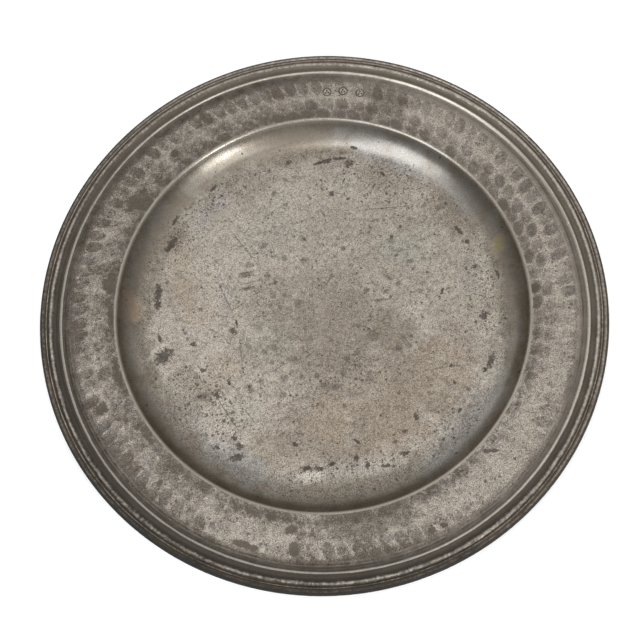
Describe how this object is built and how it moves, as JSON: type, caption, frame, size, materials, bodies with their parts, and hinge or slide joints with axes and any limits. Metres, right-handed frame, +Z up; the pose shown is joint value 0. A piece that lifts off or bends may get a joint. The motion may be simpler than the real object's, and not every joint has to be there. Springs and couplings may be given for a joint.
{
  "type": "charger",
  "caption": "Large round pewter charger, a broad shallow serving dish with a deep-curved well, a wide hammered rim and a reeded edge.",
  "frame": {"origin": "on the dish's axis, at the level surface that the underside of the well stands on", "axes": "+Z up along the dish's axis, out of the open well; X and Y are level and equal, because the dish is turned"},
  "size_m": [0.4699, 0.47, 0.0262],
  "materials": {
    "pewter": "aged pewter, dull grey-brown patina, hammered and worn"
  },
  "bodies": {
    "root": {"dish": "pewter"}
  },
  "joints": []
}
